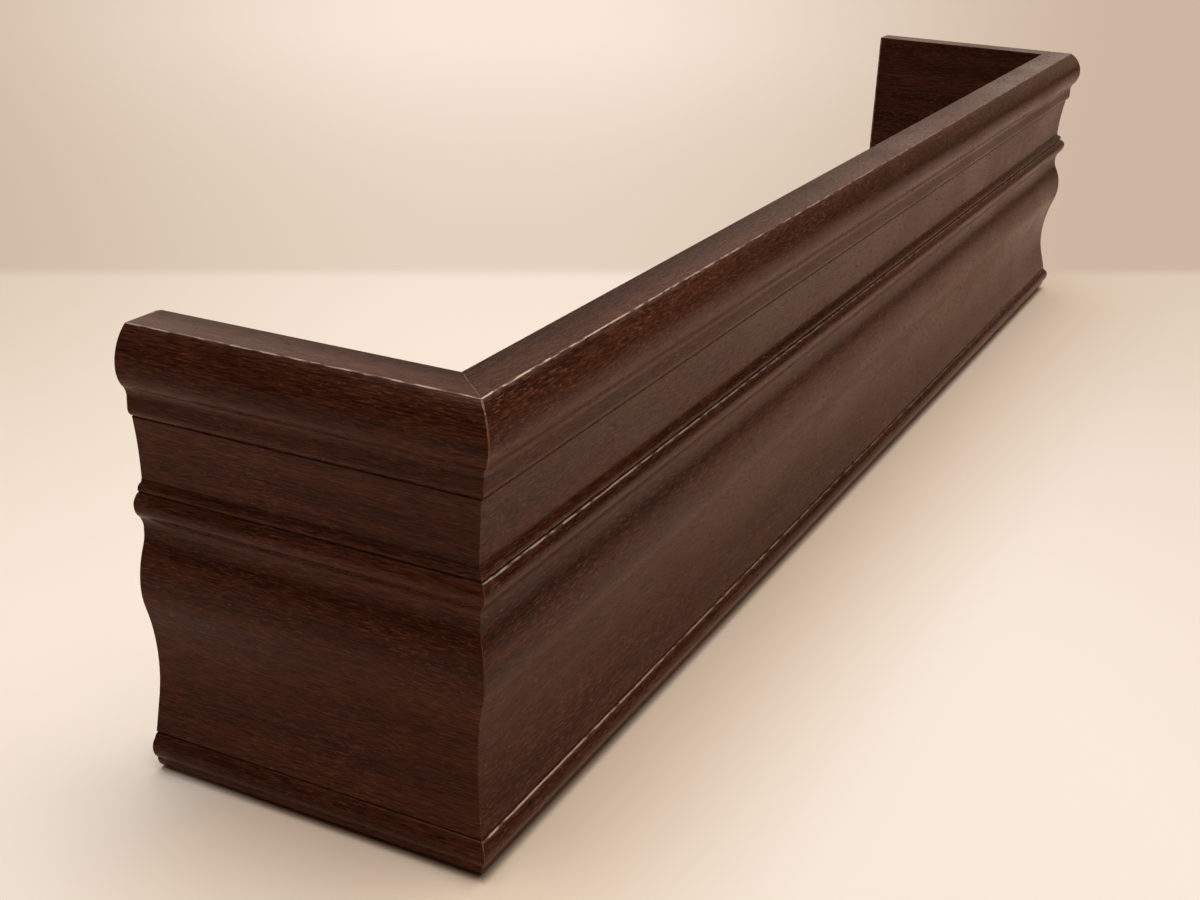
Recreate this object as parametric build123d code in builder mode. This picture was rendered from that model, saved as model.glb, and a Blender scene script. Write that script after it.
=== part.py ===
from build123d import *
import os

# A U-shaped curtain pelmet: a moulded front board mitred to two short returns that meet the wall.
# Millimetres. X runs along the front, the moulded front faces -Y, the wall is at +Y and Z is up.
# The origin is at the middle of the footprint, on the plane that the boards stand on.

# Overall sizes, taken to the top arris: the outer edge of the boards' flat top
front_length = 915.0
return_depth = 150.0
height = 190.0
board_top_width = 19.0

# Moulding, from the top down. A projection is measured out from the top arris, and a height is
# the member's own height
arris_bevel_projection = 1.7
arris_bevel_height = 1.4
crown_projection = 7.5
crown_upper_height = 13.6
crown_foot_projection = 4.9
crown_lower_height = 7.8
neck_projection = 2.8
neck_height = 4.8
fillet_projection = 3.0
fillet_height = 4.6
fillet_foot_projection = 1.7
fillet_round_height = 3.2
upper_groove_projection = 0.5
upper_groove_height = 1.0
frieze_top_projection = 0.9
frieze_projection = -1.3
frieze_height = 25.7
lip_projection = 1.4
lip_flare_height = 3.6
lip_height = 0.8
middle_groove_projection = 0.8
middle_groove_height = 0.8
bead_bevel_start = 2.1
bead_bevel_end = 3.2
bead_bevel_height = 1.2
bead_projection = 4.4
bead_upper_height = 3.0
bead_foot_projection = 1.9
bead_lower_height = 5.4
cove_projection = -0.2
cove_height = 6.0
belly_projection = 4.6
belly_upper_height = 22.7

# Moulding, from the foot up. The ogee between the belly and the hollow takes up what is left
foot_bevel_projection = 1.7
foot_bevel_height = 0.9
foot_projection = 3.8
foot_round_height = 5.0
base_bead_start = 4.4
base_notch_height = 0.6
base_bead_projection = 6.1
base_bead_lower_height = 4.6
base_bead_upper_height = 3.9
base_bevel_end = 4.5
base_bevel_start = 3.4
base_bevel_height = 1.5
lower_groove_projection = 2.3
lower_groove_height = 1.1
hollow_foot_projection = 3.0
hollow_slope_projection = -0.1
hollow_slope_height = 13.4
hollow_projection = -1.9
hollow_height = 15.4

# Where each ogee turns from round to hollow, as a share of its chord
lip_turn = 0.45
belly_turn = 0.31
hollow_turn = 0.27

# Roundings on the flat side and at the wall
inner_arris_radius = 0.6
wall_edge_radius = 1.5

# Mitre biscuits and their slots, plunged square to the mitre face with a round blade
biscuit_length = 53.0
biscuit_width = 19.0
biscuit_thickness = 4.0
biscuit_end_width = 4.0
biscuit_spacing = 90.0
biscuit_inner_wall = 4.0
slot_side_clearance = 0.05
slot_end_clearance = 0.5
blade_radius = 51.0

# Places worked out from the sizes
front_y = crown_projection - (return_depth + crown_projection) / 2
wall_y = front_y + return_depth
corner_x = front_length / 2
slot_width = biscuit_thickness + 2 * slot_side_clearance
slot_depth = biscuit_width / 2 + slot_end_clearance


def below(point, projection, drop):
    """The next corner of the moulding, a given drop under a point."""
    return (projection, point[1] - drop)


def above(point, projection, rise):
    """The next corner of the moulding, a given rise over a point."""
    return (projection, point[1] + rise)


def ogee(upper, lower, turn):
    """Two arcs, upright at both ends, which meet smoothly on the chord between their ends."""
    middle = Vector(upper) + (Vector(lower) - Vector(upper)) * turn
    TangentArc(upper, middle, tangent=(0, -1))
    TangentArc(lower, middle, tangent=(0, 1))


# Corners of the moulding from the top down
top_arris = (0, height)
crown_top = below(top_arris, arris_bevel_projection, arris_bevel_height)
crown_nose = below(crown_top, crown_projection, crown_upper_height)
crown_foot = below(crown_nose, crown_foot_projection, crown_lower_height)
neck = below(crown_foot, neck_projection, neck_height)
fillet_face = below(neck, fillet_projection, fillet_height)
fillet_foot = below(fillet_face, fillet_foot_projection, fillet_round_height)
upper_groove = below(fillet_foot, upper_groove_projection, upper_groove_height / 2)
frieze_top = below(upper_groove, frieze_top_projection, upper_groove_height / 2)
frieze = below(frieze_top, frieze_projection, frieze_height)
lip_top = below(frieze, lip_projection, lip_flare_height)
lip_foot = below(lip_top, lip_projection, lip_height)
middle_groove = below(lip_foot, middle_groove_projection, middle_groove_height / 2)
bead_bevel_top = below(middle_groove, bead_bevel_start, middle_groove_height / 2)
bead_bevel_foot = below(bead_bevel_top, bead_bevel_end, bead_bevel_height)
bead_nose = below(bead_bevel_foot, bead_projection, bead_upper_height)
bead_foot = below(bead_nose, bead_foot_projection, bead_lower_height)
cove = below(bead_foot, cove_projection, cove_height)
belly_nose = below(cove, belly_projection, belly_upper_height)

# Corners of the moulding from the foot up
sole = (0, 0)
foot_round = above(sole, foot_bevel_projection, foot_bevel_height)
foot_top = above(foot_round, foot_projection, foot_round_height)
base_bead_foot = above(foot_top, base_bead_start, base_notch_height)
base_bead_nose = above(base_bead_foot, base_bead_projection, base_bead_lower_height)
base_bevel_foot = above(base_bead_nose, base_bevel_end, base_bead_upper_height)
base_bevel_top = above(base_bevel_foot, base_bevel_start, base_bevel_height)
lower_groove = above(base_bevel_top, lower_groove_projection, lower_groove_height / 2)
hollow_foot = above(lower_groove, hollow_foot_projection, lower_groove_height / 2)
hollow_slope = above(hollow_foot, hollow_slope_projection, hollow_slope_height)
hollow = above(hollow_slope, hollow_projection, hollow_height)

# Moulded section: x is outward from the top arris, y is up from the foot
with BuildSketch() as section:
    with BuildLine():
        Line(top_arris, crown_top)
        TangentArc(crown_nose, crown_top, tangent=(0, 1))
        TangentArc(crown_nose, crown_foot, tangent=(0, -1))
        TangentArc(neck, crown_foot, tangent=(0, 1))
        Line(neck, fillet_face)
        TangentArc(fillet_face, fillet_foot, tangent=(0, -1))
        Polyline(fillet_foot, upper_groove, frieze_top)
        TangentArc(frieze, frieze_top, tangent=(0, 1))
        ogee(frieze, lip_top, lip_turn)
        Polyline(lip_top, lip_foot, middle_groove, bead_bevel_top, bead_bevel_foot)
        TangentArc(bead_nose, bead_bevel_foot, tangent=(0, 1))
        TangentArc(bead_nose, bead_foot, tangent=(0, -1))
        TangentArc(cove, bead_foot, tangent=(0, 1))
        ogee(cove, belly_nose, belly_turn)
        ogee(belly_nose, hollow, hollow_turn)
        TangentArc(hollow, hollow_slope, tangent=(0, -1))
        Polyline(hollow_slope, hollow_foot, lower_groove, base_bevel_top, base_bevel_foot)
        TangentArc(base_bead_nose, base_bevel_foot, tangent=(0, 1))
        TangentArc(base_bead_nose, base_bead_foot, tangent=(0, -1))
        Line(base_bead_foot, foot_top)
        TangentArc(foot_top, foot_round, tangent=(0, -1))
        Line(foot_round, sole)
        Polyline(sole, (-board_top_width, 0), (-board_top_width, height), top_arris)
    make_face()

# Mitre planes, which face the middle of the front board
left_mitre = Plane(origin=(-corner_x, front_y, 0), x_dir=(1, 1, 0), z_dir=(1, -1, 0))
right_mitre = Plane(origin=(corner_x, front_y, 0), x_dir=(-1, 1, 0), z_dir=(-1, -1, 0))

# Biscuit planes: x crosses the left mitre into the front board, y is up, at mid-thickness
biscuit_offset = board_top_width * 2**0.5 - biscuit_inner_wall - slot_width / 2
biscuit_centre = left_mitre.origin + left_mitre.x_dir * biscuit_offset
biscuit_levels = {
    "lower": (height - biscuit_spacing) / 2,
    "upper": (height + biscuit_spacing) / 2,
}
biscuit_planes = {
    level: Plane(biscuit_centre + Vector(0, 0, z), x_dir=left_mitre.z_dir, z_dir=-left_mitre.x_dir)
    for level, z in biscuit_levels.items()
}

# Blade that plunges the left mitre's slots: centred this far off the mitre face
blade_offset = blade_radius - slot_depth
with BuildPart() as front_slots:
    with BuildSketch(*biscuit_planes.values()):
        with Locations((-blade_offset, 0)):
            Circle(blade_radius)
    extrude(amount=slot_width / 2, both=True)

with BuildPart() as return_slots:
    with BuildSketch(*biscuit_planes.values()):
        with Locations((blade_offset, 0)):
            Circle(blade_radius)
    extrude(amount=slot_width / 2, both=True)

# Front board: mitred and slotted at both ends
with BuildPart() as front_board:
    with BuildSketch(Plane((0, front_y, 0), x_dir=(0, -1, 0), z_dir=(-1, 0, 0))):
        add(section.sketch)
    extrude(amount=corner_x + crown_projection, both=True)
    back_edges = front_board.edges().filter_by(Axis.X).group_by(Axis.Y)[-1]
    fillet(back_edges, radius=inner_arris_radius)
    split(bisect_by=left_mitre)
    split(bisect_by=right_mitre)
    add(front_slots.part, mode=Mode.SUBTRACT)
    add(front_slots.part.mirror(Plane.YZ), mode=Mode.SUBTRACT)

# Left return: the wall end is cut square, with its inner edge rounded
with BuildPart() as left_return:
    with BuildSketch(Plane((-corner_x, wall_y, 0), x_dir=(-1, 0, 0), z_dir=(0, 1, 0))):
        add(section.sketch)
    extrude(amount=-(return_depth + crown_projection))
    wall_edge = left_return.edges().filter_by(Axis.Z).group_by(Axis.Y)[-1].sort_by(Axis.X)[-1]
    fillet(wall_edge, radius=wall_edge_radius)
    split(bisect_by=left_mitre, keep=Keep.BOTTOM)
    add(return_slots.part, mode=Mode.SUBTRACT)

# Right return: the left one handed the other way
with BuildPart() as right_return:
    mirror(left_return.part, about=Plane.YZ)

os.makedirs("parts", exist_ok=True)
front_board.part.label = "front_board"
left_return.part.label = "left_return"
right_return.part.label = "right_return"
for board in (front_board, left_return, right_return):
    export_step(board.part, f"parts/{board.part.label}.step")

# Biscuits: a pointed oval of two arcs with blunt ends, on the mid-plane of each slot
for level, plane in biscuit_planes.items():
    with BuildPart() as biscuit:
        with BuildSketch(plane):
            with BuildLine():
                upper_end = (biscuit_end_width / 2, biscuit_length / 2)
                lower_end = (biscuit_end_width / 2, -biscuit_length / 2)
                ThreePointArc(upper_end, (biscuit_width / 2, 0), lower_end)
                Line(upper_end, (0, biscuit_length / 2))
                Line(lower_end, (0, -biscuit_length / 2))
                mirror(about=Plane.YZ)
            make_face()
        extrude(amount=biscuit_thickness / 2, both=True)
    biscuit.part.label = f"left_biscuit_{level}"
    export_step(biscuit.part, f"parts/{biscuit.part.label}.step")
    with BuildPart() as mirrored_biscuit:
        mirror(biscuit.part, about=Plane.YZ)
    mirrored_biscuit.part.label = f"right_biscuit_{level}"
    export_step(mirrored_biscuit.part, f"parts/{mirrored_biscuit.part.label}.step")
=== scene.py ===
from math import cos, exp, pi, radians, sin

import bmesh
import bpy
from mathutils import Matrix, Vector, noise


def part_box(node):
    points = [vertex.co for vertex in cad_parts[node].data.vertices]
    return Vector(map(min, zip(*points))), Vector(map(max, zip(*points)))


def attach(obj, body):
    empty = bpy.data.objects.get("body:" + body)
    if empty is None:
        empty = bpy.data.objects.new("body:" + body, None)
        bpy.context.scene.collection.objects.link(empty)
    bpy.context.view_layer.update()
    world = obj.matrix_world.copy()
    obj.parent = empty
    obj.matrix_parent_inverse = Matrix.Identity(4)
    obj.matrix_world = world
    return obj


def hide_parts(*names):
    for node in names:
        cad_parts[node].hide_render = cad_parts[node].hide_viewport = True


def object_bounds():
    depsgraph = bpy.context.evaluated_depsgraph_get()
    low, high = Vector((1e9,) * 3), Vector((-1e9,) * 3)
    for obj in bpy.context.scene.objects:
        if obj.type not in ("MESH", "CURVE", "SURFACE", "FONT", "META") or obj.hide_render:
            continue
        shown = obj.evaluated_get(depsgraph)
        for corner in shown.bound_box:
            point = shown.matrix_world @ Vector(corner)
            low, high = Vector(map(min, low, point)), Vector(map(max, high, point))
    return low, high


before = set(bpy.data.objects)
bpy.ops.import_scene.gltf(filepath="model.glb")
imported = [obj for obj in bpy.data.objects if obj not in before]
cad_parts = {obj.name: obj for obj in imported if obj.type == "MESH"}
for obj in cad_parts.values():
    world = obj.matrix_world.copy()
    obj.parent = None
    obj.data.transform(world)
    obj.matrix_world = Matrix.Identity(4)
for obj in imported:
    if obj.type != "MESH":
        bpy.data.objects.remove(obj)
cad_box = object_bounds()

# The dressed curtain pelmet: each moulded board is made again on the imported section, with the
# softened arrises, worn mitres, painted highlights on rubbed edges, painted shade on the inner faces
# and stained wood that the plain solids lack.
# Metres. X runs along the front, the moulded front faces -Y, the wall is at +Y and Z is up.

MM = 0.001
WHOLE = (0.0, 1.0)
TO_RIGHT = Vector((1, 0, 0))
TO_WALL = Vector((0, 1, 0))

# Softened edges: how far each one is rounded
ARRIS_SOFTENING = 0.35 * MM
GROOVE_SOFTENING = 0.10 * MM
SHARP_TURN = radians(16)
MITRE_SOFTENING = 0.3 * MM
CROWN_MITRE_SOFTENING = 0.55 * MM
SEAM_SOFTENING = 0.2 * MM
WALL_END_SOFTENING = 0.2 * MM
WALL_EDGE_RADIUS = 1.5 * MM

# A corner's rounding and its fade take no more than these shares of the side next to it
MOST_CUT = 0.4
MOST_FADE = 0.45

# Mesh: steps round a softened corner, the rings' spacing along a board, and how strongly the
# larger faces lead the shading
CORNER_STEPS = (0, 0.25, 0.5, 0.75, 1)
RING_SPACING = 12 * MM
NORMALS_BY_AREA = 80

# How near a point has to be to lie on a place of the section
SAME_PLACE = 0.001 * MM
NEAR_TOP = 0.1 * MM
NEAR_ARRIS = 0.3 * MM
NEAR_INNER_FACE = 0.5 * MM

# Arrises where the stain is rubbed through and a pale painted highlight runs along them: height, then how
# strongly on the front and on a return
RUBBED_AND_HIGHLIT_ARRISES = (
    (190.0 * MM, 1.0, 0.7),
    (188.6 * MM, 1.0, 0.3),
    (123.5 * MM, 0.5, 0.0),
    (122.7 * MM, 0.9, 0.0),
    (121.5 * MM, 0.6, 0.0),
    (16.5 * MM, 0.9, 0.0),
    (15.0 * MM, 0.9, 0.0),
)
BEVEL_RUB_AND_HIGHLIGHT = 0.10
RUB_AND_HIGHLIGHT_FADE = 0.08 * MM
WALL_EDGE_RUB_AND_HIGHLIGHT = 0.30

# The rubbed wear and painted highlight fade along a board, from full at its near end to this share far off
RUB_AND_HIGHLIGHT_REACH = 0.28
RUB_AND_HIGHLIGHT_FAR = 0.12

# Wear along a mitre's edge, by place on the moulding: rubbed pale with a painted highlight, then only bared
UNMARKED = (0.0, 0.0)
TOP_SEAM_WEAR_AND_HIGHLIGHT = (0.8, 0.0)
CROWN_TOP_WEAR_AND_HIGHLIGHT = (0.5, 0.8)
CROWN_WEAR_AND_HIGHLIGHT = (0.1, 1.0)
BEAD_WEAR = (0.0, 1.0)
PLAIN_WEAR = (0.0, 0.55)
CROWN_TOP_DEPTH = 6 * MM
CROWN_DEPTH = 24 * MM
BEAD_HEIGHTS = (112 * MM, 125 * MM)
BASE_BEAD_HEIGHT = 18 * MM
MITRE_UNEVENNESS = 0.55
MITRE_CHIP_SPACING = 2.5 * MM

# Slots for the mitre biscuits
BLADE_RADIUS = 51 * MM
BLADE_SIDES = 128
SLOT_DEPTH = 10 * MM
SLOT_WIDTH = 4.1 * MM

# Camera, fitted to the photograph's perspective
CAMERA_PLACE = (-0.8964, -0.3269, 0.3782)
CAMERA_TURN = (65.167, -2.017, -63.433)
FOCAL_LENGTH = 49.21
SENSOR_WIDTH = 36.0
IMAGE_WIDTH = 1200
SHIFT_UP_PIXELS = 80

# Lamp
LAMP_PLACE = (-0.15, -0.16, 2.2)
LAMP_AIM = (0, 0, 0.1)
LAMP_SIZE = 3.0
LAMP_POWER = 67
LAMP_WHITE = (1.0, 0.99, 0.97)

# Wood colours
STAIN_DARK = (0.034, 0.0088, 0.0040)
STAIN_MIDDLE = (0.066, 0.0200, 0.0100)
STAIN_RED = (0.078, 0.0205, 0.0090)
FLECK = (0.170, 0.064, 0.033)
LACQUER_TINT = (1.0, 0.82, 0.68)
RUBBED_AND_HIGHLIT = (0.66, 0.48, 0.39)
BARED = (0.26, 0.105, 0.052)
BEECH_LIGHT = (0.60, 0.42, 0.25)
BEECH_DARK = (0.42, 0.26, 0.14)

# The boards' inner faces: how far their colour is darkened as painted shade, and how strongly they and the
# outside shine
INNER_PAINTED_SHADE = 0.72
INNER_SHINE = 0.2
OUTER_SHINE = 0.5

# Grain patterns: how long a cell is along the grain and how wide across it, then the noise's settings
GRAIN = {
    "band": {"along": 300 * MM, "across": 14 * MM, "detail": 3.0, "roughness": 0.55},
    "red": {"along": 160 * MM, "across": 8 * MM, "shift": 7.0},
    "patch": {"along": 60 * MM, "across": 30 * MM, "shift": 13.0},
    "fibre": {"along": 10 * MM, "across": 0.7 * MM, "detail": 3.0, "roughness": 0.7},
    "fleck": {"along": 4 * MM, "across": 0.55 * MM, "shift": 3.0, "bend": 0.6},
    "pore": {"along": 4.5 * MM, "across": 0.65 * MM, "detail": 1.0, "shift": 21.0},
    "rubbed_and_highlit": {"along": 7 * MM, "across": 1.2 * MM, "shift": 31.0},
    "bared": {"along": 4 * MM, "across": 5 * MM, "shift": 43.0},
    "beech": {"along": 2 * MM, "across": 12 * MM, "detail": 3.0},
    "ray": {"along": 0.6 * MM, "across": 3 * MM, "shift": 5.0},
}

# How a noise becomes marks: the noise where they are least and where they are most, then both strengths
MARKS = {
    "band": (0.30, 0.72, 0.0, 1.0),
    "red": (0.50, 0.72, 0.0, 0.6),
    "fibre": (0.34, 0.66, 0.50, 1.50),
    "pore": (0.60, 0.72, 0.0, 0.75),
    "fleck": (0.55, 0.66, 0.0, 1.0),
    "fleck patch": (0.35, 0.65, 0.35, 0.85),
    "rubbed_and_highlit": (0.40, 0.55, 0.15, 1.0),
    "bared": (0.40, 0.60, 0.3, 1.0),
    "lacquer roughness": (0.3, 0.7, 0.22, 0.30),
    "beech": (0.3, 0.7, 0.0, 1.0),
    "ray": (0.60, 0.75, 0.0, 0.6),
    "beech roughness": (0.3, 0.7, 0.6, 0.8),
}
PORE_ROUGHNESS = 0.25
FIBRE_RELIEF = 0.5
GRAIN_BUMP = {"Strength": 0.35, "Distance": 0.06 * MM}
BEECH_BUMP = {"Strength": 0.3, "Distance": 0.1 * MM}

# Directions on the floor: towards the backdrop, and along it
TO_BACKDROP = (0.832, 0.554, 0)
ALONG_BACKDROP = (-TO_BACKDROP[1], TO_BACKDROP[0], 0)

# Floor and backdrop colours
FLOOR = (0.95, 0.84, 0.74)
FLOOR_PAINTED_SHADE = (0.78, 0.66, 0.55)
FLOOR_WARM_SHADE = (0.95, 0.76, 0.59)
FLOOR_CONTACT_SHADOW = (0.22, 0.12, 0.07)
FLOOR_IN_GLOSS = (0.98, 0.78, 0.70)
BACKDROP_LOW = (0.78, 0.65, 0.53)
BACKDROP_HIGH = (0.95, 0.81, 0.69)
BACKDROP_SIDE_SHADE = (0.61, 0.47, 0.36)
BACKDROP_STRENGTH = 1.0

# Floor sheet
FLOOR_RADIUS = 14.0
FLOOR_SIDES = 96
FLOOR_DROP = 0.1 * MM
PAPER_ROUGHNESS = 0.75
PAPER_IOR = 1.2

# The floor darkens to both sides of the middle of a fan of lines, as painted shade. The lines start from
# the point on the floor under the camera, and each has its slope: the way along the backdrop over the way
# towards it
FAN_DEPTH = -0.93
FAN_SIDE = 0.225
FAN_MIDDLE = -0.07
FAN_SPAN = (0.02, 0.40)
FAN_DEPTH_SPAN = (-0.3, 0.35)

# The floor's near corner darkened as painted shade, and where it turns to the backdrop's tones: distances
# along the two directions
CORNER_SHARE = 0.45
CORNER_SIDE_SPAN = (-0.30, -0.08)
CORNER_DEPTH_SPAN = (-0.35, 0.05)
BACKDROP_LINE = (0.368, 0.408)
BACKDROP_RISE = (0.4, 1.8)

# The painted warm shade and painted contact shadow round the foot: distances out from the CAD box's near
# sides and past its right side, and the places on Y where both fade out beside the left return
TINT_REACH = (0.0, 0.11)
TINT_RIGHT_SPAN = (-0.05, 0.12)
CONTACT_SHARE = 0.7
CONTACT_REACH = (-6 * MM, -0.5 * MM)
CONTACT_RIGHT_SPAN = (-12 * MM, 0.0)
FOOT_EDGE = (-24 * MM, -18 * MM)
BESIDE_RETURN = (0.015, 0.075)

# Room: warm and dark all round, with a pale glow towards the backdrop. Spans are shares of a direction
ROOM_WARM = (1.0, 0.66, 0.36)
ROOM_PALE = (0.95, 0.73, 0.60)
PALE_SPAN = (0.60, 0.92)
PALE_GLOW = 0.45
HORIZON_SPAN = (0.12, 0.20)
HORIZON_GLOW = 0.80
WALL_SIDE_SPAN = (0.42, 0.60)
WALL_SIDE_GLOW = 0.60
HEIGHT_SPAN = (0.25, 0.70)
DUSK_GLOW = 0.10
LEAST_GLOW = 0.04


def add(tree, kind, inputs=None, **settings):
    """A shader node with its settings, and its inputs by name or place: a value, or a socket to link."""
    node = tree.nodes.new("ShaderNode" + kind)
    for key, value in settings.items():
        setattr(node, key, value)
    for key, value in (inputs or {}).items():
        if isinstance(value, bpy.types.NodeSocket):
            tree.links.new(value, node.inputs[key])
        else:
            node.inputs[key].default_value = value
    return node


def arithmetic(tree, operation, first, second=0.0):
    """One step of arithmetic."""
    return add(tree, "Math", {0: first, 1: second}, operation=operation).outputs[0]


def product(tree, *factors):
    """The factors multiplied together."""
    result = factors[0]
    for factor in factors[1:]:
        result = arithmetic(tree, "MULTIPLY", result, factor)
    return result


def reach(tree, place, direction):
    """How far a place or a direction goes along another direction."""
    inputs = {0: place, 1: direction}
    return add(tree, "VectorMath", inputs, operation="DOT_PRODUCT").outputs["Value"]


def scaled(tree, colour, amount):
    """The colour made lighter or darker."""
    return add(tree, "VectorMath", {0: colour, "Scale": amount}, operation="SCALE").outputs[0]


def rise(tree, value, span, low=0.0, high=1.0):
    """A smooth step from low to high as the value crosses the span."""
    start, end = span
    inputs = {"Value": value, "From Min": start, "From Max": end, "To Min": low, "To Max": high}
    return add(tree, "MapRange", inputs, interpolation_type="SMOOTHSTEP").outputs["Result"]


def fall(tree, value, span, high=1.0):
    """A smooth step from high to nothing as the value crosses the span."""
    return rise(tree, value, span, high, 0.0)


def marks(tree, cells, name, strength=1.0):
    """A noise turned into the marks of this name."""
    start, end, least, most = MARKS[name]
    return rise(tree, cells, (start, end), least * strength, most * strength)


def blend(tree, share, first, second):
    """The first colour where the share is 0, and the second where it is 1."""
    node = add(tree, "Mix", {"Factor": share}, data_type="RGBA")
    for key, colour in (("A", first), ("B", second)):
        socket = next(s for s in node.inputs if s.name == key and s.type == "RGBA")
        if isinstance(colour, bpy.types.NodeSocket):
            tree.links.new(colour, socket)
        else:
            socket.default_value = (*colour, 1.0)
    return next(s for s in node.outputs if s.type == "RGBA")


def new_material(name):
    """A material with nothing but its Principled shader, its node tree and that shader."""
    material = bpy.data.materials.new(name)
    material.use_nodes = True
    tree = material.node_tree
    shader = next(n for n in tree.nodes if n.type == "BSDF_PRINCIPLED")
    return material, tree, shader


def grain_place(tree, grain):
    """Object coordinates turned so that x runs along the grain."""
    place = add(tree, "TexCoord").outputs["Object"]
    if grain == "x":
        return place
    parts = add(tree, "SeparateXYZ", {"Vector": place})
    turned = {"X": parts.outputs["Y"], "Y": parts.outputs["X"], "Z": parts.outputs["Z"]}
    return add(tree, "CombineXYZ", turned).outputs["Vector"]


def grain_noise(tree, place, along, across, detail=2.0, roughness=0.5, shift=0.0, bend=0.0):
    """Noise whose cells are this long along the grain and this wide across it."""
    scale = (1 / along, 1 / across, 1 / across)
    cells = add(tree, "Mapping", {"Vector": place, "Scale": scale, "Location": (shift, shift, shift)})
    inputs = {"Vector": cells.outputs["Vector"], "Scale": 1.0, "Detail": detail, "Roughness": roughness}
    inputs["Distortion"] = bend
    return add(tree, "TexNoise", inputs).outputs["Fac"]


def stain_colour(tree, place, fibre, patch, open_pore, depth, flecks):
    """The stained wood unworn: dark and red bands, fibres, open pores and short pale flecks."""
    band = grain_noise(tree, place, **GRAIN["band"])
    red = grain_noise(tree, place, **GRAIN["red"])
    fleck = grain_noise(tree, place, **GRAIN["fleck"])
    colour = blend(tree, marks(tree, band, "band"), STAIN_DARK, STAIN_MIDDLE)
    colour = blend(tree, marks(tree, red, "red"), colour, STAIN_RED)
    colour = scaled(tree, colour, marks(tree, fibre, "fibre", depth))
    colour = blend(tree, open_pore, colour, STAIN_DARK)
    fleck_share = product(tree, marks(tree, fleck, "fleck"), marks(tree, patch, "fleck patch", flecks))
    return blend(tree, fleck_share, colour, FLECK)


def worn_and_highlit(tree, place, colour, mark_name, mark_colour):
    """The colour turned to the mark colour in broken marks, as strongly as the named attribute says: stain
    worn off, and on rubbed arrises a painted highlight as well.
    """
    share = add(tree, "Attribute", attribute_name=mark_name).outputs["Fac"]
    broken = marks(tree, grain_noise(tree, place, **GRAIN[mark_name]), mark_name)
    return blend(tree, product(tree, share, broken), colour, mark_colour)


def stained_wood(name, grain, depth, ior, flecks):
    """Dark stained, satin lacquered hardwood with its grain along x or y."""
    material, tree, shader = new_material(name)
    place = grain_place(tree, grain)
    patch = grain_noise(tree, place, **GRAIN["patch"])
    fibre = grain_noise(tree, place, **GRAIN["fibre"])
    open_pore = marks(tree, grain_noise(tree, place, **GRAIN["pore"]), "pore")
    inner = add(tree, "Attribute", attribute_name="inner_side").outputs["Fac"]

    colour = stain_colour(tree, place, fibre, patch, open_pore, depth, flecks)
    # The inner faces are darkened: painted shade
    colour = scaled(tree, colour, rise(tree, inner, WHOLE, 1.0, INNER_PAINTED_SHADE))
    # Rubbed arrises: stain worn through, and pale painted highlight lines
    colour = worn_and_highlit(tree, place, colour, "rubbed_and_highlit", RUBBED_AND_HIGHLIT)
    colour = worn_and_highlit(tree, place, colour, "bared", BARED)
    tree.links.new(colour, shader.inputs["Base Color"])

    rough = marks(tree, patch, "lacquer roughness")
    rough = arithmetic(tree, "ADD", rough, product(tree, open_pore, PORE_ROUGHNESS))
    tree.links.new(rough, shader.inputs["Roughness"])
    shine = rise(tree, inner, WHOLE, OUTER_SHINE, INNER_SHINE)
    tree.links.new(shine, shader.inputs["Specular IOR Level"])
    shader.inputs["IOR"].default_value = ior
    shader.inputs["Specular Tint"].default_value = (*LACQUER_TINT, 1.0)

    relief = arithmetic(tree, "SUBTRACT", product(tree, fibre, FIBRE_RELIEF), open_pore)
    bump = add(tree, "Bump", {"Height": relief, **GRAIN_BUMP})
    tree.links.new(bump.outputs["Normal"], shader.inputs["Normal"])
    return material


def pressed_beech(name):
    """Bare compressed beech: pale, with short dark rays."""
    material, tree, shader = new_material(name)
    place = add(tree, "TexCoord").outputs["Object"]
    grain = grain_noise(tree, place, **GRAIN["beech"])
    rays = grain_noise(tree, place, **GRAIN["ray"])
    colour = blend(tree, marks(tree, grain, "beech"), BEECH_LIGHT, BEECH_DARK)
    colour = blend(tree, marks(tree, rays, "ray"), colour, BEECH_DARK)
    tree.links.new(colour, shader.inputs["Base Color"])
    tree.links.new(marks(tree, rays, "beech roughness"), shader.inputs["Roughness"])
    bump = add(tree, "Bump", {"Height": rays, **BEECH_BUMP})
    tree.links.new(bump.outputs["Normal"], shader.inputs["Normal"])
    return material


# The boards' places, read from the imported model
return_low, return_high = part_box("left_return")
wall_y = return_high.y


def moulded_outline():
    """The moulding's outline at the left return's square wall end, as x outward and y up, foot first."""
    middle_x = (return_low.x + return_high.x) / 2
    found = {}
    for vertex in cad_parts["left_return"].data.vertices:
        on_wall_end = abs(vertex.co.y - wall_y) < SAME_PLACE
        if on_wall_end and vertex.co.x < middle_x:
            found[round(vertex.co.z, 7)] = vertex.co.x
    levels = sorted(found)
    arris_x = found[levels[-1]]
    return [Vector((arris_x - found[z], z)) for z in levels], arris_x


outline, arris_x = moulded_outline()
corner_x = -arris_x
front_y = return_low.y + max(point.x for point in outline)
thickness = return_high.x - arris_x
height = return_high.z


def turn_at(before, point, after):
    """The turn of a loop at a point, in radians, positive at an outside corner."""
    first = point - before
    second = after - point
    return -first.angle_signed(second)


def on_inner_face(point):
    """Whether a point of the section lies on the boards' flat inner face."""
    return point.x < NEAR_INNER_FACE - thickness


def on_top(point):
    """Whether a point of the section lies on the boards' flat top."""
    return point.y > height - NEAR_TOP


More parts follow.
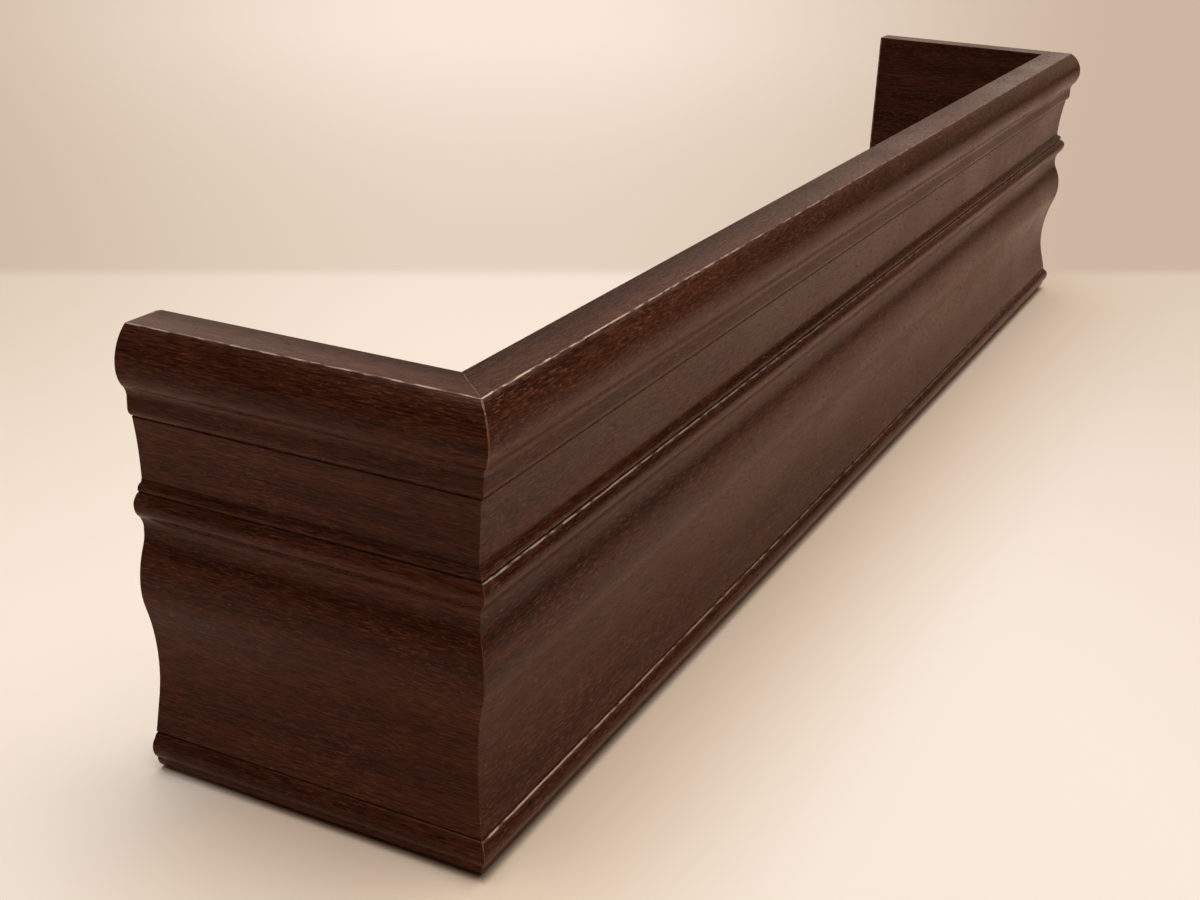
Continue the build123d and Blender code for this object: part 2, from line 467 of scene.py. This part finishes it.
def rub_and_highlight_at(point):
    """How strongly the arris at this point is rubbed and painted with a highlight, on the front and on a
    return.
    """
    if on_inner_face(point):
        return UNMARKED
    for level, on_front, on_return in RUBBED_AND_HIGHLIT_ARRISES:
        if abs(point.y - level) < NEAR_ARRIS:
            return (on_front, on_return)
    return UNMARKED


def bevel_rub_and_highlight(rub_and_highlight, neighbour_rub_and_highlight):
    """The wear and painted highlight of a small bevel between two rubbed arrises."""
    return tuple(BEVEL_RUB_AND_HIGHLIGHT * min(pair) for pair in zip(rub_and_highlight, neighbour_rub_and_highlight))


def rub_and_highlight_end(point, neighbour, cut, rub_and_highlight):
    """Where an arris's wear and painted highlight end on the side towards its neighbour, and what is left
    there.
    """
    side = neighbour - point
    fade = min(cut + RUB_AND_HIGHLIGHT_FADE, MOST_FADE * side.length)
    return (point + side.normalized() * fade, bevel_rub_and_highlight(rub_and_highlight, rub_and_highlight_at(neighbour)))


def soften(loop):
    """The loop with its corners rounded over, and one more point on each smooth stretch."""
    count = len(loop)
    turns = [turn_at(loop[i - 1], loop[i], loop[(i + 1) % count]) for i in range(count)]
    result = []
    for i, point in enumerate(loop):
        before = loop[i - 1]
        after = loop[(i + 1) % count]
        if abs(turns[i]) < SHARP_TURN:
            result.append((point, UNMARKED))
            if abs(turns[(i + 1) % count]) < SHARP_TURN:
                # Midway on the smooth curve through the four points
                beyond = loop[(i + 2) % count]
                result.append(((9 * (point + after) - before - beyond) / 16, UNMARKED))
            continue
        radius = ARRIS_SOFTENING if turns[i] > 0 else GROOVE_SOFTENING
        cut = min(radius, MOST_CUT * (point - before).length, MOST_CUT * (after - point).length)
        rub_and_highlight = rub_and_highlight_at(point) if turns[i] > 0 else UNMARKED
        start = point + (before - point).normalized() * cut
        end = point + (after - point).normalized() * cut
        corner = []
        for t in CORNER_STEPS:
            arc = start * (1 - t) ** 2 + point * 2 * t * (1 - t) + end * t**2
            corner.append((arc, rub_and_highlight))
        if rub_and_highlight != UNMARKED:
            corner.insert(0, rub_and_highlight_end(point, before, cut, rub_and_highlight))
            corner.append(rub_and_highlight_end(point, after, cut, rub_and_highlight))
        result.extend(corner)
    return result


def board_section():
    """The whole softened section as a loop: outward and up, with each point's outside normal, and its wear
    with painted highlight.
    """
    loop = [*outline, Vector((-thickness, height)), Vector((-thickness, 0.0))]
    soft = soften(loop)
    section = []
    for i, (point, rub_and_highlight) in enumerate(soft):
        tangent = soft[(i + 1) % len(soft)][0] - soft[i - 1][0]
        normal = Vector((tangent.y, -tangent.x)).normalized()
        section.append((point, normal, rub_and_highlight))
    return section


section = board_section()


def mitre_softening(point):
    """How far the mitre's edge is rounded at a point of the section."""
    if point.x < 0 or on_top(point):
        return SEAM_SOFTENING
    chips = 1 + MITRE_UNEVENNESS * noise.noise(Vector((0, 0, point.y / MITRE_CHIP_SPACING)))
    if point.y > height - CROWN_DEPTH:
        return CROWN_MITRE_SOFTENING * chips
    return MITRE_SOFTENING * chips


def wall_softening(point):
    """How far the wall end's edge is rounded at a point of the section."""
    return WALL_EDGE_RADIUS if on_inner_face(point) else WALL_END_SOFTENING


def mitre_rings(count=3):
    """Rounding of a mitred end: for each ring the set back along the board, and the sink, as shares."""
    for i in range(count):
        angle = pi / 4 * (1 - i / (count - 1))
        yield 1 - sin(angle), 1 - cos(angle)


def wall_rings(count=6):
    """Rounding of a square cut end, from the end face back."""
    for i in range(count):
        angle = pi / 2 * (1 - i / (count - 1))
        yield 1 - sin(angle), 1 - cos(angle)


def mitre_wear_and_highlight(point, on_front):
    """The wear along a mitre's edge: how far it is rubbed pale with a painted highlight, and how far it is
    only bared.
    """
    if on_top(point):
        past_inner_arris = point.x > NEAR_ARRIS - thickness
        return TOP_SEAM_WEAR_AND_HIGHLIGHT if on_front and past_inner_arris else UNMARKED
    if point.x < 0:
        return UNMARKED
    if point.y > height - CROWN_TOP_DEPTH:
        return CROWN_TOP_WEAR_AND_HIGHLIGHT
    if point.y > height - CROWN_DEPTH:
        return CROWN_WEAR_AND_HIGHLIGHT
    low, high = BEAD_HEIGHTS
    on_bead = low < point.y < high or point.y < BASE_BEAD_HEIGHT
    return BEAD_WEAR if on_bead else PLAIN_WEAR


def make_board(name, start, along, outward, length, mitred_far_end):
    """A moulded board as rings of the section. The ring on a mitre runs out with the moulding."""
    mesh = bmesh.new()
    rubbed_and_highlit_layer = mesh.verts.layers.float.new("rubbed_and_highlit")
    bared_layer = mesh.verts.layers.float.new("bared")
    inner_layer = mesh.verts.layers.float.new("inner_side")
    on_front = mitred_far_end

    def place(point, distance):
        """Where a point of the section comes to lie at this distance along the board."""
        return start + along * distance + outward * point.x + Vector((0, 0, point.y))

    def near_end(point):
        """Where the near mitre cuts a point of the section."""
        return -point.x

    def far_end(point):
        """Where the far mitre or the square wall end cuts a point of the section."""
        return length + point.x if mitred_far_end else length

    def ring(sink, softening, distance, on_mitre_edge=False):
        """The section once round the board, sunk where an end's edge is rounded, with its wear and painted
        highlight.
        """
        made = []
        for point, normal, rub_and_highlight in section:
            amount = softening(point)
            on_wall_edge = amount == WALL_EDGE_RADIUS
            if on_wall_edge:
                normal = Vector((-1, 0))
            sunk = point - normal * amount * sink
            away = distance(sunk, amount)
            vertex = mesh.verts.new(place(sunk, away))
            vertex[inner_layer] = 1.0 if on_inner_face(point) else 0.0
            fade = RUB_AND_HIGHLIGHT_FAR + (1 - RUB_AND_HIGHLIGHT_FAR) * exp(-away / RUB_AND_HIGHLIGHT_REACH)
            vertex[rubbed_and_highlit_layer] = (rub_and_highlight[0] if on_front else rub_and_highlight[1]) * fade
            # The rounded wall edge gets a faint rubbed mark with painted highlight
            if on_wall_edge and sink > 0:
                vertex[rubbed_and_highlit_layer] = WALL_EDGE_RUB_AND_HIGHLIGHT
            if on_mitre_edge:
                rubbed_and_highlit, bared = mitre_wear_and_highlight(point, on_front)
                vertex[rubbed_and_highlit_layer] = max(vertex[rubbed_and_highlit_layer], rubbed_and_highlit * fade)
                vertex[bared_layer] = bared
            made.append(vertex)
        return made

    rings = []
    for back, sink in mitre_rings():
        rings.append(ring(sink, mitre_softening, lambda p, a: near_end(p) + a * (back - sink), sink > 0))
    steps = round(length / RING_SPACING)
    for i in range(1, steps):
        share = i / steps
        rings.append(ring(0, mitre_softening, lambda p, a: near_end(p) * (1 - share) + far_end(p) * share))
    if mitred_far_end:
        for back, sink in reversed(list(mitre_rings())):
            rings.append(ring(sink, mitre_softening, lambda p, a: far_end(p) - a * (back - sink), sink > 0))
    else:
        for back, sink in reversed(list(wall_rings())):
            rings.append(ring(sink, wall_softening, lambda p, a: far_end(p) - a * back))

    for first, second in zip(rings, rings[1:]):
        for i in range(len(section)):
            mesh.faces.new((first[i - 1], first[i], second[i], second[i - 1]))
    mesh.faces.new(rings[0])
    mesh.faces.new(reversed(rings[-1]))
    bmesh.ops.recalc_face_normals(mesh, faces=mesh.faces)
    for face in mesh.faces:
        face.smooth = len(face.verts) == 4
    return finished_object(name, mesh)


def finished_object(name, mesh):
    """The built mesh as an object in the scene."""
    data = bpy.data.meshes.new(name)
    mesh.to_mesh(data)
    mesh.free()
    made = bpy.data.objects.new(name, data)
    bpy.context.scene.collection.objects.link(made)
    return made


def make_blade(middle, to_side, beyond):
    """A round blade as thick as a slot, which plunges to a slot's full depth from beyond the mitre."""
    mesh = bmesh.new()
    radii = {"radius1": BLADE_RADIUS, "radius2": BLADE_RADIUS}
    bmesh.ops.create_cone(mesh, cap_ends=True, segments=BLADE_SIDES, depth=SLOT_WIDTH, **radii)
    blade = finished_object("blade", mesh)
    blade.location = middle + beyond * (BLADE_RADIUS - SLOT_DEPTH)
    blade.rotation_euler = (TO_WALL - to_side).to_track_quat("Z", "Y").to_euler()
    return blade


def cut_slots(board, outward):
    """The board's biscuit slots, one at each biscuit in the mitres that the board is part of."""
    blades = []
    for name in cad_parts:
        if "biscuit" not in name:
            continue
        low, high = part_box(name)
        middle = (low + high) / 2
        to_side = -TO_RIGHT if middle.x < 0 else TO_RIGHT
        if outward.x * to_side.x < 0:
            continue
        beyond = (-TO_WALL - to_side) / 2**0.5
        if outward.y < 0:
            beyond = -beyond
        blade = make_blade(middle, to_side, beyond)
        cut = board.modifiers.new("slot", "BOOLEAN")
        cut.operation = "DIFFERENCE"
        cut.solver = "EXACT"
        cut.object = blade
        blades.append(blade)
    bpy.context.view_layer.update()
    graph = bpy.context.evaluated_depsgraph_get()
    worked = board.evaluated_get(graph)
    board.data = bpy.data.meshes.new_from_object(worked, preserve_all_data_layers=True, depsgraph=graph)
    board.modifiers.clear()
    for blade in blades:
        bpy.data.objects.remove(blade)


def dress(board, node, material):
    """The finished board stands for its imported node."""
    board.data.materials.append(material)
    weighted = board.modifiers.new("face weighted normals", "WEIGHTED_NORMAL")
    weighted.weight = NORMALS_BY_AREA
    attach(board, "root")
    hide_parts(node)


front_wood = stained_wood("front_wood", grain="x", depth=0.90, ior=1.175, flecks=0.85)
return_wood = stained_wood("return_wood", grain="y", depth=0.88, ior=1.20, flecks=0.55)
beech = pressed_beech("biscuit_wood")

return_length = wall_y - front_y
left_corner = Vector((-corner_x, front_y, 0))
right_corner = Vector((corner_x, front_y, 0))
front = make_board("moulded_front", left_corner, TO_RIGHT, -TO_WALL, 2 * corner_x, True)
left = make_board("moulded_left_return", left_corner, TO_WALL, -TO_RIGHT, return_length, False)
right = make_board("moulded_right_return", right_corner, TO_WALL, TO_RIGHT, return_length, False)
cut_slots(front, -TO_WALL)
cut_slots(left, -TO_RIGHT)
cut_slots(right, TO_RIGHT)
dress(front, "front_board", front_wood)
dress(left, "left_return", return_wood)
dress(right, "right_return", return_wood)
for name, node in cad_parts.items():
    if "biscuit" in name:
        node.material_slots[0].material = beech


def off_middle(tree, depth, side):
    """How far off the middle of the floor's fan of lines a place is, from 0 to 1."""
    out = arithmetic(tree, "SUBTRACT", side, FAN_SIDE)
    slope = arithmetic(tree, "DIVIDE", out, arithmetic(tree, "SUBTRACT", depth, FAN_DEPTH))
    slope_off = arithmetic(tree, "ABSOLUTE", arithmetic(tree, "SUBTRACT", slope, FAN_MIDDLE))
    return rise(tree, slope_off, FAN_SPAN)


def foot_shading(tree, place, colour):
    """The floor's colour with a painted warm shade round the foot, and a painted contact shadow where the
    boards touch it.
    """
    parts = add(tree, "SeparateXYZ", {"Vector": place}).outputs
    ahead = arithmetic(tree, "SUBTRACT", cad_box[0][1], parts["Y"])
    aside = arithmetic(tree, "SUBTRACT", cad_box[0][0], parts["X"])
    away = arithmetic(tree, "MAXIMUM", ahead, aside)
    past_right = arithmetic(tree, "SUBTRACT", parts["X"], cad_box[1][0])
    outside = rise(tree, away, FOOT_EDGE)
    beside = fall(tree, parts["Y"], BESIDE_RETURN)

    # Painted warm shade on the floor round the foot
    warm_shade = fall(tree, away, TINT_REACH)
    tint = product(tree, warm_shade, outside, beside, fall(tree, past_right, TINT_RIGHT_SPAN))
    colour = blend(tree, tint, colour, FLOOR_WARM_SHADE)
    # Painted contact shadow: a dark line on the floor where the boards touch it
    contact_shadow = fall(tree, away, CONTACT_REACH, CONTACT_SHARE)
    at_foot = product(tree, outside, fall(tree, past_right, CONTACT_RIGHT_SPAN))
    return blend(tree, product(tree, contact_shadow, at_foot, beside), colour, FLOOR_CONTACT_SHADOW)


def paper_colour(tree, place, depth, side, edge):
    """The floor's colour, with painted shade to its sides, at its near corner and round the foot, and a
    little deeper where glossy surfaces show it.
    """
    darker = product(tree, edge, rise(tree, depth, FAN_DEPTH_SPAN))
    colour = blend(tree, darker, FLOOR, FLOOR_PAINTED_SHADE)
    colour = foot_shading(tree, place, colour)
    near_corner = fall(tree, side, CORNER_SIDE_SPAN, CORNER_SHARE)
    corner = product(tree, near_corner, fall(tree, depth, CORNER_DEPTH_SPAN))
    colour = blend(tree, corner, colour, FLOOR_PAINTED_SHADE)
    glossy = add(tree, "LightPath").outputs["Is Glossy Ray"]
    reflected = add(tree, "VectorMath", {0: colour, 1: FLOOR_IN_GLOSS}, operation="MULTIPLY").outputs[0]
    return blend(tree, glossy, colour, reflected)


def studio_paper():
    """Pale paper that turns along a soft line to a glow seen only by the camera, in the backdrop's tones,
    lighter further back and darker to the sides as painted shade.
    """
    material, tree, shader = new_material("studio_paper")
    place = add(tree, "TexCoord").outputs["Object"]
    depth = reach(tree, place, TO_BACKDROP)
    side = reach(tree, place, ALONG_BACKDROP)
    edge = off_middle(tree, depth, side)
    tree.links.new(paper_colour(tree, place, depth, side, edge), shader.inputs["Base Color"])
    shader.inputs["Roughness"].default_value = PAPER_ROUGHNESS
    shader.inputs["IOR"].default_value = PAPER_IOR

    # The backdrop glow: lighter further back, and darker to the sides as painted shade
    tone = blend(tree, rise(tree, depth, BACKDROP_RISE), BACKDROP_LOW, BACKDROP_HIGH)
    tone = blend(tree, edge, tone, BACKDROP_SIDE_SHADE)
    backdrop = add(tree, "Emission", {"Color": tone, "Strength": BACKDROP_STRENGTH})
    seen = add(tree, "LightPath").outputs["Is Camera Ray"]
    beyond = product(tree, rise(tree, depth, BACKDROP_LINE), seen)
    both = add(tree, "MixShader", {0: beyond, 1: shader.outputs[0], 2: backdrop.outputs[0]})
    tree.links.new(both.outputs[0], tree.nodes["Material Output"].inputs["Surface"])
    return material


def make_floor():
    """A wide pale floor just under the boards."""
    mesh = bmesh.new()
    bmesh.ops.create_circle(mesh, cap_ends=True, segments=FLOOR_SIDES, radius=FLOOR_RADIUS)
    floor = finished_object("studio_floor", mesh)
    floor.location.z = -FLOOR_DROP
    floor.data.materials.append(studio_paper())


def make_room():
    """A dark warm room with a pale glow towards the backdrop."""
    world = bpy.data.worlds.new("studio_room")
    world.use_nodes = True
    tree = world.node_tree
    background = tree.nodes["Background"]
    direction = add(tree, "TexCoord").outputs["Generated"]
    parts = add(tree, "SeparateXYZ", {"Vector": direction}).outputs
    pale = rise(tree, reach(tree, direction, TO_BACKDROP), PALE_SPAN)
    tree.links.new(blend(tree, pale, ROOM_WARM, ROOM_PALE), background.inputs["Color"])

    horizon = fall(tree, parts["Z"], HORIZON_SPAN, HORIZON_GLOW)
    wall_side = rise(tree, parts["Y"], WALL_SIDE_SPAN, high=WALL_SIDE_GLOW)
    glow = arithmetic(tree, "ADD", arithmetic(tree, "ADD", horizon, wall_side), PALE_GLOW)
    dusk = fall(tree, pale, WHOLE, DUSK_GLOW)
    strength = arithmetic(tree, "ADD", product(tree, pale, glow), dusk)
    strength = product(tree, strength, fall(tree, parts["Z"], HEIGHT_SPAN))
    tree.links.new(arithmetic(tree, "ADD", strength, LEAST_GLOW), background.inputs["Strength"])
    bpy.context.scene.world = world


def make_lamp():
    """One wide round lamp overhead."""
    lamp = bpy.data.lights.new("overhead_lamp", "AREA")
    lamp.shape = "DISK"
    lamp.size = LAMP_SIZE
    lamp.energy = LAMP_POWER
    lamp.color = LAMP_WHITE
    holder = bpy.data.objects.new("overhead_lamp", lamp)
    holder.location = LAMP_PLACE
    aim = Vector(LAMP_AIM) - Vector(LAMP_PLACE)
    holder.rotation_euler = aim.to_track_quat("-Z", "Y").to_euler()
    bpy.context.scene.collection.objects.link(holder)


def make_camera():
    """The photograph's view."""
    data = bpy.data.cameras.new("photo_camera")
    data.lens = FOCAL_LENGTH
    data.sensor_width = SENSOR_WIDTH
    data.shift_y = SHIFT_UP_PIXELS / IMAGE_WIDTH
    camera = bpy.data.objects.new("photo_camera", data)
    camera.location = CAMERA_PLACE
    camera.rotation_euler = [radians(angle) for angle in CAMERA_TURN]
    bpy.context.scene.collection.objects.link(camera)
    bpy.context.scene.camera = camera


make_floor()
make_room()
make_lamp()
make_camera()
bpy.context.scene.view_settings.view_transform = "Standard"

bpy.context.view_layer.update()
